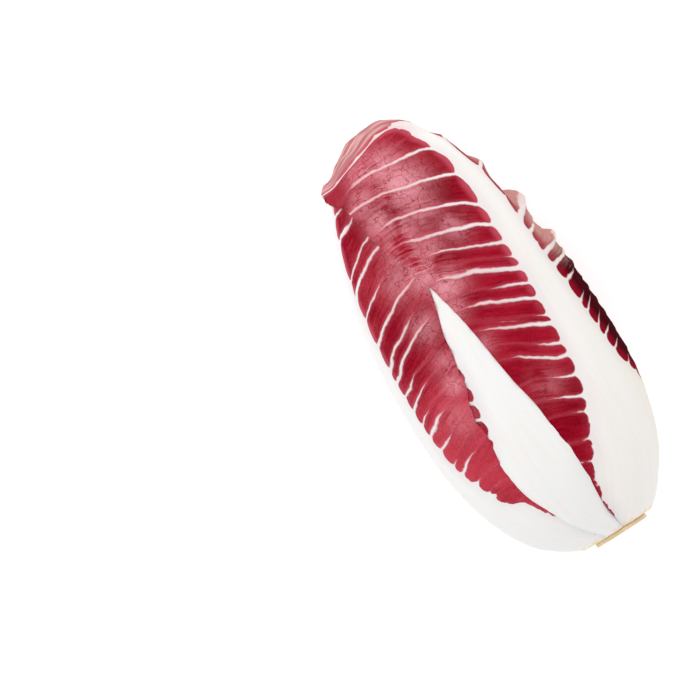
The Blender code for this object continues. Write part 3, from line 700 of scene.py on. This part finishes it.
def calc(tree, operation, *values, **settings):
    """Does one sum on up to three values."""
    return add(tree, "ShaderNodeMath", dict(enumerate(values)), operation=operation, **settings)


def ramp(tree, value, low, high, start=0.0, end=1.0, kind="LINEAR"):
    """Runs from start to end while the value runs from low to high."""
    return add(tree, "ShaderNodeMapRange", {0: value, 1: low, 2: high, 3: start, 4: end},
               interpolation_type=kind)


def ease(tree, *values):
    """A ramp that starts and ends softly."""
    return ramp(tree, *values, kind="SMOOTHSTEP")


def blend(tree, share, first, second):
    """Mixes two colours, hex values or outputs: the first at a share of 0, the second at 1."""
    first, second = (linear(colour) if isinstance(colour, str) else colour for colour in (first, second))
    return add(tree, "ShaderNodeMix", {0: share, 6: first, 7: second}, out=2, data_type="RGBA")


def grain(tree, place, scale, detail, rough=0.5, out="Fac"):
    """Noise with about that many bumps to a unit of the place."""
    return add(tree, "ShaderNodeTexNoise", {"Vector": place, "Scale": scale, "Detail": detail,
                                            "Roughness": rough}, out=out)


def new_finish(name):
    """A new material, with its node tree and its main shader."""
    material = bpy.data.materials.new(name)
    material.use_nodes = True
    return material, material.node_tree, material.node_tree.nodes["Principled BSDF"]


print("wine red in linear light:", [round(part, 3) for part in linear("#a51732")])

# %% [markdown]
# ## Where the red lies
# A chicory leaf is a thin blade, red with anthocyanin, over a white juicy rib. The red stops short of the
# rib in blunt fingers, one between each pair of side veins, and the veins cut it like white roots:
# mostly 1 to 2 mm wide near the rib and thinner as they go. All of it is worked out from the leaf's own
# marks, in millimetres. A painted image could give it too, but it would blur close up and stretch at
# the tip.

# %% Fingers between the veins
def finger(tree, out, half, white, size):
    """Half the width of the red between two veins: blunt and round where it nears the rib."""
    blunt = calc(tree, "MULTIPLY_ADD", half, 0.24, 1.3)
    blunt = calc(tree, "MULTIPLY", blunt, size)
    share = calc(tree, "DIVIDE", out, blunt, use_clamp=True)
    left = calc(tree, "SUBTRACT", 2.0, share)
    arc = calc(tree, "MULTIPLY", share, left)
    arc = calc(tree, "SQRT", arc)
    room = calc(tree, "SUBTRACT", half, white)
    return calc(tree, "MULTIPLY", room, arc)


def red_depth(tree, mark, mm):
    """How far inside the red a place is, in millimetres: below 0 it is white rib or vein."""
    # Veins wander by up to a millimetre in slow bends, and by a quarter of that in quick ones
    slow = grain(tree, mm, 0.07, 0.0)
    slow = calc(tree, "MULTIPLY_ADD", slow, 4.0, -2.0)
    quick = grain(tree, mm, 0.3, 1.0)
    wander = calc(tree, "MULTIPLY_ADD", quick, 1.0, slow)
    wander = calc(tree, "SUBTRACT", wander, 0.5)
    wander = calc(tree, "DIVIDE", wander, mark["vein_gap"])
    phase = calc(tree, "ADD", mark["vein"], wander)
    to_vein = calc(tree, "PINGPONG", phase, 0.5)
    to_vein = calc(tree, "MULTIPLY", to_vein, mark["vein_gap"])
    half = calc(tree, "MULTIPLY", mark["vein_gap"], 0.5)
    off_centre = calc(tree, "SUBTRACT", half, to_vein)
    # A vein is wide at the rib, thins with distance and ends at its reach
    out = calc(tree, "MAXIMUM", mark["past_rib"], 0.0)
    mouth = calc(tree, "MULTIPLY", out, -1 / 1.6)
    mouth = calc(tree, "EXPONENT", mouth)
    far = calc(tree, "MULTIPLY", out, -1 / 20.0)
    far = calc(tree, "EXPONENT", far)
    body = calc(tree, "MULTIPLY_ADD", far, 0.26, 0.24)
    body = calc(tree, "MULTIPLY_ADD", mouth, 0.25, body)
    white = calc(tree, "MULTIPLY", body, mark["vein_width"])
    ended = calc(tree, "SUBTRACT", out, mark["vein_reach"])
    ended = ramp(tree, ended, -9.0, 0.5, 0.0, 0.8)
    white = calc(tree, "SUBTRACT", white, ended)
    crowded = calc(tree, "MULTIPLY", half, 0.34)
    white = calc(tree, "MINIMUM", white, crowded)
    blunt = ramp(tree, mark["from_cut"], 24.0, 50.0, 0.5, 1.0)
    inside = calc(tree, "SUBTRACT", finger(tree, out, half, white, blunt), off_centre)
    inside = calc(tree, "MINIMUM", inside, mark["past_rib"])
    # The red's edge frays by a quarter of a millimetre, and by about one near the cut
    fray = grain(tree, mm, 0.4, 3.0)
    fray = calc(tree, "SUBTRACT", fray, 0.5)
    ragged = ramp(tree, mark["from_cut"], 24.0, 56.0, 4.5, 0.5)
    ragged = calc(tree, "MULTIPLY_ADD", mouth, 0.7, ragged)
    inside = calc(tree, "MULTIPLY_ADD", fray, ragged, inside)
    return inside, phase, out, fray


print("a finger is blunt over, mm:", [round(0.24 * half + 1.3, 1) for half in (2, 4, 7)])

# %% [markdown]
# ## The colours of the blade
# The red isn't even: it has soft blotches 25 mm across, fine streaks that follow the veins, and a mottle
# of a millimetre and finer from its cells. Over it lie pale pink patches, partly a natural wax and partly
# a painted highlight of soft sheen, and the creases of the finest veins, 3 to 8 mm apart, stay dark in them.

# %% Red blade with waxy bloom
# The pink of the patches, partly wax and partly a painted sheen highlight
WAXY_SHEEN_PINK = "#d8949e"


def creases(tree, mm):
    """A net of fine creases, large cells with small ones inside: 1 in a crease and 0 off it."""
    bend = grain(tree, mm, 0.22, 2.0, out="Color")
    bend = add(tree, "ShaderNodeVectorMath", {0: bend, "Scale": 9.0}, operation="SCALE")
    bent = add(tree, "ShaderNodeVectorMath", {0: mm, 1: bend}, operation="ADD")
    net = 0.0
    for scale, wide, weight in ((0.13, 0.035, 1.0), (0.33, 0.06, 0.5)):
        line = add(tree, "ShaderNodeTexVoronoi", {"Vector": bent, "Scale": scale}, out="Distance",
                   feature="DISTANCE_TO_EDGE")
        line = ease(tree, line, 0.0, wide, weight, 0.0)
        net = calc(tree, "MAXIMUM", line, net)
    return net


def blade_colour(tree, mark, mm, phase, seed, deep, light, low, high):
    """The red of the blade, with the net of creases and the grain that its relief needs too."""
    blotch = grain(tree, mm, 0.04, 1.0)
    across = calc(tree, "MULTIPLY", phase, 9.0)
    along = calc(tree, "MULTIPLY", mark["from_midrib"], 0.07)
    streak = add(tree, "ShaderNodeCombineXYZ", {0: across, 1: along, 2: seed})
    streak = grain(tree, streak, 1.0, 2.0)
    mottle = grain(tree, mm, 1.1, 4.0, 0.7)
    paler = ramp(tree, mark["from_cut"], 78.0, 112.0, low - 1.6, high - 1.6)
    shade = calc(tree, "MULTIPLY_ADD", blotch, 1.4, paler)
    shade = calc(tree, "MULTIPLY_ADD", streak, 1.2, shade)
    shade = calc(tree, "MULTIPLY_ADD", mottle, 1.4, shade, use_clamp=True)
    colour = blend(tree, shade, deep, light)
    # Wax and a painted sheen highlight lie in soft pale patches, broken by the creases
    net = creases(tree, mm)
    sheen_haze = grain(tree, mm, 0.07, 2.0)
    sheen_haze = calc(tree, "MULTIPLY", sheen_haze, 0.7)
    sheen_haze = calc(tree, "MULTIPLY_ADD", streak, 0.3, sheen_haze)
    sheen_haze = ease(tree, sheen_haze, 0.32, 0.5)
    sheen_haze = calc(tree, "MULTIPLY", sheen_haze, mark["sheen_and_wax"])
    open_skin = calc(tree, "MULTIPLY_ADD", net, -0.8, 1.0)
    sheen_haze = calc(tree, "MULTIPLY", sheen_haze, open_skin)
    colour = blend(tree, sheen_haze, colour, WAXY_SHEEN_PINK)
    return colour, net, streak, mottle, blotch


print("wax shows in", len(WAXY_SHEEN_PATCHES), "patches")

# %% [markdown]
# ## The white rib
# A rib is water-filled flesh with fibres along it a couple of millimetres apart, hardly darker than the
# flesh. It blushes faintly where fingers of red end, its veins turn pink as they thin, and the knife's cut
# has dried to tan for 2 to 4 mm, with a ragged edge.

# %% Rib and veins
VEINS_TURN_PINK = (4.0, 40.0)


def rib_colour(tree, mark, out, blotch, seed, flesh, shade_warmth):
    """The white of the rib and veins, and the long fibres that its relief needs too."""
    along = calc(tree, "MULTIPLY", mark["from_cut"], 0.03)
    across = calc(tree, "MULTIPLY", mark["from_midrib"], 0.42)
    fibre = add(tree, "ShaderNodeCombineXYZ", {0: across, 1: along, 2: seed})
    fibre = grain(tree, fibre, 1.0, 3.0)
    cream = ramp(tree, fibre, 0.45, 0.8, 0.0, 0.16)
    # Painted shade: the side turned from the light is tinted warmer
    shaded_side_warmth = ramp(tree, mark["from_midrib"], -3.0, -20.0, 0.0, shade_warmth)
    cream = calc(tree, "ADD", cream, shaded_side_warmth)
    colour = blend(tree, cream, flesh, "#d6c9ae")
    blush = ease(tree, mark["past_rib"], -7.0, 0.5, 0.0, 0.3)
    blush = calc(tree, "MULTIPLY", blush, blotch)
    colour = blend(tree, blush, colour, "#bd96ab")
    thinned = ramp(tree, out, *VEINS_TURN_PINK, 0.0, 0.75)
    colour = blend(tree, thinned, colour, "#d39ca0")
    crown = calc(tree, "MULTIPLY", mark["crown"], 0.4)
    colour = blend(tree, crown, colour, "#cf9c9c")
    return colour, fibre


print("veins turn pink over, mm from the rib:", VEINS_TURN_PINK)

# %% [markdown]
# ## A whole leaf
# One finish puts these together: the marks come in from the mesh, the red lies over the rib, and relief
# of up to half a millimetre lifts the veins and sinks the creases. Some light passes into the flesh and
# comes out redder. The inner leaves are paler, the left-hand leaf is lighter near the cut, and the
# other five share one wine red, with painted shade and painted light on the far side of the rib.

# %% Fresh chicory leaf
def leaf_finish(name, seed, deep, light, flesh, low=0.0, high=0.0, shade_warmth=0.0, far_side_shade_light_and_back=None):
    """Fresh chicory leaf: red blade with wax and painted sheen, pale veins and a white rib."""
    material, tree, shader = new_finish(name)
    names = ("vein", "vein_gap", "vein_reach", "vein_width", "from_midrib", "past_rib", "from_cut",
             "sheen_and_wax", "crown")
    mark = {key: add(tree, "ShaderNodeAttribute", out="Fac", attribute_name=key) for key in names}
    place = add(tree, "ShaderNodeTexCoord", out="Object")
    mm = add(tree, "ShaderNodeVectorMath", {0: place, "Scale": 1000.0}, operation="SCALE")
    inside, phase, out, fray = red_depth(tree, mark, mm)
    red = ease(tree, inside, -0.25, 0.55)
    blade, net, streak, mottle, blotch = blade_colour(tree, mark, mm, phase, seed, deep, light, low, high)
    # The red thins out over its last 2 mm, and over 5 mm at the fingertips of the upper half
    rim = ramp(tree, inside, 0.2, 2.0, 0.32, 0.0)
    tip = ease(tree, out, 1.0, 5.5, 1.0, 0.0)
    upper = ramp(tree, mark["from_cut"], 88.0, 118.0, 0.1, 0.62)
    tip = calc(tree, "MULTIPLY", tip, upper)
    rim = calc(tree, "MAXIMUM", tip, rim)
    blade = blend(tree, rim, blade, "#c9596b")
    skin = calc(tree, "MULTIPLY_ADD", mottle, 0.25, 0.3)
    # Past the rib the blade is matt, with painted shade and light: wine darkening to near black low down,
    # where it turns from the light, and thin and painted paler, as lit, where it ruffles higher up
    if far_side_shade_light_and_back:
        away = ramp(tree, mark["from_midrib"], -2.0, -4.0)
        deeper_painted_shade = ease(tree, out, 0.5, 9.0)
        dark = blend(tree, deeper_painted_shade, far_side_shade_light_and_back[0], far_side_shade_light_and_back[1])
        thin = calc(tree, "MULTIPLY_ADD", streak, 6.0, out)
        thin = ease(tree, thin, 4.0, 15.0)
        pale = blend(tree, thin, far_side_shade_light_and_back[2], far_side_shade_light_and_back[3])
        height = calc(tree, "MULTIPLY_ADD", streak, 14.0, mark["from_cut"])
        height = ease(tree, height, 112.0, 128.0)
        far_side_shade_and_light = blend(tree, height, dark, pale)
        blade = blend(tree, away, blade, far_side_shade_and_light)
        # Folded over the tip it shows its pale back, striped along the fold
        across = calc(tree, "MULTIPLY", mark["from_midrib"], 0.3)
        turn = calc(tree, "MULTIPLY", phase, 0.5)
        stripe = add(tree, "ShaderNodeCombineXYZ", {0: across, 1: turn, 2: seed})
        stripe = grain(tree, stripe, 1.0, 1.5)
        stripe = ease(tree, stripe, 0.42, 0.62)
        back = blend(tree, stripe, far_side_shade_light_and_back[4], far_side_shade_light_and_back[5])
        folded = calc(tree, "MULTIPLY", away, mark["crown"])
        blade = blend(tree, folded, blade, back)
        skin = calc(tree, "MULTIPLY_ADD", away, 0.6, skin, use_clamp=True)
    flesh, fibre = rib_colour(tree, mark, out, blotch, seed, flesh, shade_warmth)
    colour = blend(tree, red, flesh, blade)
    dried = calc(tree, "MULTIPLY_ADD", fray, 6.0, mark["from_cut"])
    dried = ease(tree, dried, 2.2, 3.6, 0.7, 0.0)
    tan = blend(tree, fibre, "#deb987", "#f0dcba")
    colour = blend(tree, dried, colour, tan)
    # Relief in millimetres: veins stand proud, creases sink in the red, fibres and skin give a fine grain
    ridge = ease(tree, inside, -0.3, 1.3, 0.42, 0.0)
    sunk = calc(tree, "MULTIPLY", net, red)
    relief = calc(tree, "MULTIPLY_ADD", sunk, -0.13, ridge)
    relief = calc(tree, "MULTIPLY_ADD", fibre, 0.05, relief)
    relief = calc(tree, "MULTIPLY_ADD", mottle, 0.12, relief)
    bump = add(tree, "ShaderNodeBump", {"Height": relief, "Strength": 0.8, "Distance": MM})
    fill(tree, shader, {"Base Color": colour, "Normal": bump, "Roughness": skin, "IOR": 1.42,
                        "Specular IOR Level": 0.02, "Subsurface Weight": 0.35, "Subsurface Scale": 1.0 * MM,
                        "Subsurface Radius": (1.0, 0.35, 0.3)})
    print(name, "nodes:", len(tree.nodes))
    return material


for name, piece in leaves.items():
    seed = float(LEAVES[name]["seed"])
    if name.startswith("inner"):
        finish = leaf_finish("fresh_" + name, seed, "#8f2238", "#b85a68", "#d8d2bd")
    elif name == "outer_leaf_left":
        finish = leaf_finish("fresh_" + name, seed, "#84001a", "#b83a49", "#e3e2e1", low=0.5, high=-0.3)
    else:
        # Past the rib these leaves get painted shade low down, painted light on the ruffles above, and the
        # pale back of the fold over the tip
        shaded_warm_rib = name == "outer_leaf_right"
        finish = leaf_finish("fresh_" + name, seed, "#7c0014", "#aa1a31", "#e6e3e0" if shaded_warm_rib else "#e4e3e2",
                             # Painted shade: the right-hand leaf's rib is tinted warm on the side turned
                             # from the light
                             shade_warmth=0.3 if shaded_warm_rib else 0.0,
                             far_side_shade_light_and_back=("#8a0c22", "#3c040c", "#9c3a44", "#bb857f", "#a86a6e", "#cf9b98"))
    piece.data.materials.append(finish)

# %% [markdown]
# ## The finish of the stem and the heart
# A cut stem dries to a corky tan, darker towards its rim and rough with torn fibres. The heart never
# sees light, so its rolled leaves are cream with only soft flushes of red.

# %% Dried cut stem and pale heart
def stem_finish():
    """Air-dried cut stem: tan cork with a darker rim and torn fibres."""
    material, tree, shader = new_finish("air_dried_cut_stem")
    place = add(tree, "ShaderNodeTexCoord", out="Object")
    inward = add(tree, "ShaderNodeVectorMath", {0: place, 1: tuple(AXIS)}, operation="SUBTRACT")
    mm = add(tree, "ShaderNodeVectorMath", {0: inward, "Scale": 1000.0}, operation="SCALE")
    flat = add(tree, "ShaderNodeVectorMath", {0: mm, 1: (0.0, 1.0, 1.0)}, operation="MULTIPLY")
    radius = add(tree, "ShaderNodeVectorMath", {0: flat}, out="Value", operation="LENGTH")
    fibre = grain(tree, mm, 0.8, 6.0, 0.7)
    ring = calc(tree, "MULTIPLY_ADD", fibre, 3.0, radius)
    ring = ease(tree, ring, 8.5, 13.0)
    colour = blend(tree, ring, "#f2e4c6", "#ecd5ae")
    dark = ramp(tree, fibre, 0.52, 0.75, 0.0, 0.7)
    colour = blend(tree, dark, colour, "#d5ae7c")
    bump = add(tree, "ShaderNodeBump", {"Height": fibre, "Strength": 0.9, "Distance": 0.8 * MM})
    fill(tree, shader, {"Base Color": colour, "Normal": bump, "Roughness": 0.85})
    return material


def heart_finish():
    """Blanched heart leaves: cream with soft flushes of red."""
    material, tree, shader = new_finish("blanched_heart_leaves")
    place = add(tree, "ShaderNodeTexCoord", out="Object")
    mm = add(tree, "ShaderNodeVectorMath", {0: place, "Scale": 1000.0}, operation="SCALE")
    long_way = add(tree, "ShaderNodeVectorMath", {0: mm, 1: (0.12, 1.0, 1.0)}, operation="MULTIPLY")
    blush = grain(tree, long_way, 0.12, 4.0)
    blush = ease(tree, blush, 0.5, 0.62)
    colour = blend(tree, blush, "#f0e6bd", "#c4586a")
    bump = add(tree, "ShaderNodeBump", {"Height": blush, "Strength": 0.5, "Distance": 0.4 * MM})
    fill(tree, shader, {"Base Color": colour, "Normal": bump, "Roughness": 0.45})
    return material


stem.data.materials.append(stem_finish())
heart.data.materials.append(heart_finish())
print("materials:", len(bpy.data.materials))

# %% [markdown]
# ## Ride on the frame
# Every finished piece stands for one solid of the imported model and rides on its only body, so the
# head rests and collides as its solids do.

# %% Tie pieces to solids
for name, piece in {**leaves, "stem": stem, "heart": heart}.items():
    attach(piece, "root")
    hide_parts(name)
print("pieces:", len(leaves) + 2)

# %% [markdown]
# ## Floor
# The photograph is high key: a white sweep, one very large soft light from the upper left and plenty of
# fill, so that shadows almost vanish. A pale sheet that is lit from beneath stands for the sweep.

# %% Floor
def floor_finish():
    """Opal acrylic sheet, lit from beneath so that little colour is cast on it, with the faintest grain."""
    material, tree, shader = new_finish("opal_acrylic_sheet")
    place = add(tree, "ShaderNodeTexCoord", out="Object")
    speck = grain(tree, place, 900.0, 2.0)
    colour = blend(tree, speck, "#c6c6c6", "#cacaca")
    fill(tree, shader, {"Base Color": colour, "Roughness": 0.7, "Emission Color": linear("#ffffff"),
                        "Emission Strength": 0.55})
    return material


bpy.ops.mesh.primitive_plane_add(size=6.0, location=(0.0, 0.0, -0.0002))
floor = bpy.context.object
floor.name = "floor"
floor.data.materials.append(floor_finish())
print("floor, m:", tuple(floor.dimensions))

# %% [markdown]
# ## Camera and light
# The camera looks straight down on the head. A long lens keeps it from swelling in the middle, and one
# scale, in millimetres to a picture point, sets its height. The lamp is a square 1.4 m wide, and the
# white world round it gives the fill.

# %% Camera and light
PICTURE = 700
MM_PER_POINT = 0.42105
PICTURE_TURN = 57.32
PICTURE_MIDDLE = (-25.18, -51.79)
LENS = 600.0
SENSOR = 36.0
LAMP_AT = (-0.75, 0.7, 1.1)
LAMP_WIDTH = 1.4
LAMP_POWER = 9.0
right = Vector((math.cos(math.radians(PICTURE_TURN)), math.sin(math.radians(PICTURE_TURN)), 0.0))
up = Vector((-right.y, right.x, 0.0))

camera = bpy.data.objects.new("camera", bpy.data.cameras.new("camera"))
camera.data.lens = LENS
camera.data.sensor_width = SENSOR
distance = PICTURE * MM_PER_POINT * MM * LENS / SENSOR
camera.location = (PICTURE_MIDDLE[0] * MM, PICTURE_MIDDLE[1] * MM, AXIS[2] + distance)
camera.rotation_euler = (0.0, 0.0, math.radians(PICTURE_TURN))
bpy.context.scene.collection.objects.link(camera)
bpy.context.scene.camera = camera

lamp = bpy.data.objects.new("key", bpy.data.lights.new("key", "AREA"))
lamp.data.size = LAMP_WIDTH
lamp.data.energy = LAMP_POWER
lamp.location = right * LAMP_AT[0] + up * LAMP_AT[1] + Vector((0.0, 0.0, LAMP_AT[2]))
lamp.rotation_euler = (-lamp.location).to_track_quat("-Z", "Y").to_euler()
bpy.context.scene.collection.objects.link(lamp)

world = bpy.data.worlds.new("white_studio")
world.use_nodes = True
world.node_tree.nodes["Background"].inputs["Color"].default_value = linear("#ffffff")
world.node_tree.nodes["Background"].inputs["Strength"].default_value = 1.0
bpy.context.scene.world = world
bpy.context.scene.view_settings.view_transform = "Standard"
print("camera height, m:", round(camera.location.z, 3))
